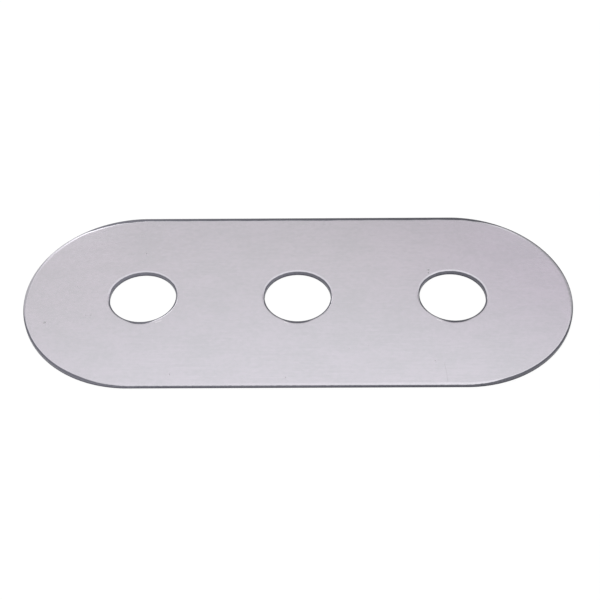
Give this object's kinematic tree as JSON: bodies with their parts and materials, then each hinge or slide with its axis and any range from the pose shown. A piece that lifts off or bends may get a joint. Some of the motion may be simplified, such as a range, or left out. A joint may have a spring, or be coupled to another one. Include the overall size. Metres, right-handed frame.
{
  "type": "obround cover plate",
  "caption": "Flat metal cover plate with straight sides, half-round ends and a line of round openings for valve sleeves.",
  "frame": {"origin": "on the flat back, on the axis of the middle opening", "axes": "+X along the line of openings, +Z out of the face, away from the wall that the plate covers"},
  "size_m": [0.359, 0.1496, 0.003],
  "materials": {
    "plate_metal": "bright satin face, darker cut walls"
  },
  "bodies": {
    "root": {"cover_plate": "plate_metal"}
  },
  "joints": []
}
